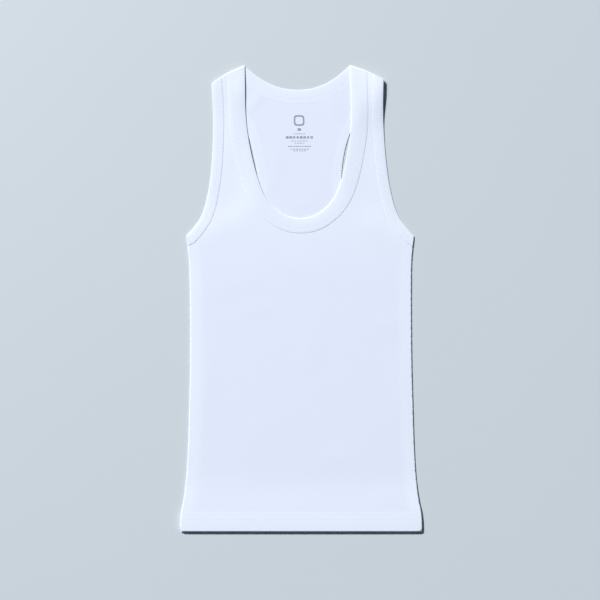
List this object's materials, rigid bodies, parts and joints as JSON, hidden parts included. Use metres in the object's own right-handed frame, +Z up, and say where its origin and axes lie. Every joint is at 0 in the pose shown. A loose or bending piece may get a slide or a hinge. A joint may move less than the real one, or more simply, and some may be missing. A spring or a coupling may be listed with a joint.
{
  "type": "tank top",
  "caption": "Ribbed sleeveless top with a scoop neck, racer back and bound openings, laid flat on its back.",
  "frame": {"origin": "middle of the garment's box on the floor that it lies on", "axes": "+Y from the hem to the neck, +X towards the garment's side on the viewer's right, +Z up, out of the front"},
  "size_m": [0.3112, 0.6006, 0.0051],
  "materials": {
    "body_rib": "matte fine rib knit, bluish white",
    "binding_rib": "matte fine rib knit folded double, bluish white",
    "thread": "matte sewing thread, bluish white",
    "print": "matte grey printed ink"
  },
  "bodies": {
    "root": {"back_panel": "body_rib", "back_neck_band": "binding_rib", "back_armhole_band_left": "binding_rib", "back_armhole_band_right": "binding_rib", "front_panel": "body_rib", "front_neck_band": "binding_rib", "front_armhole_band_left": "binding_rib", "front_armhole_band_right": "binding_rib"}
  },
  "joints": []
}
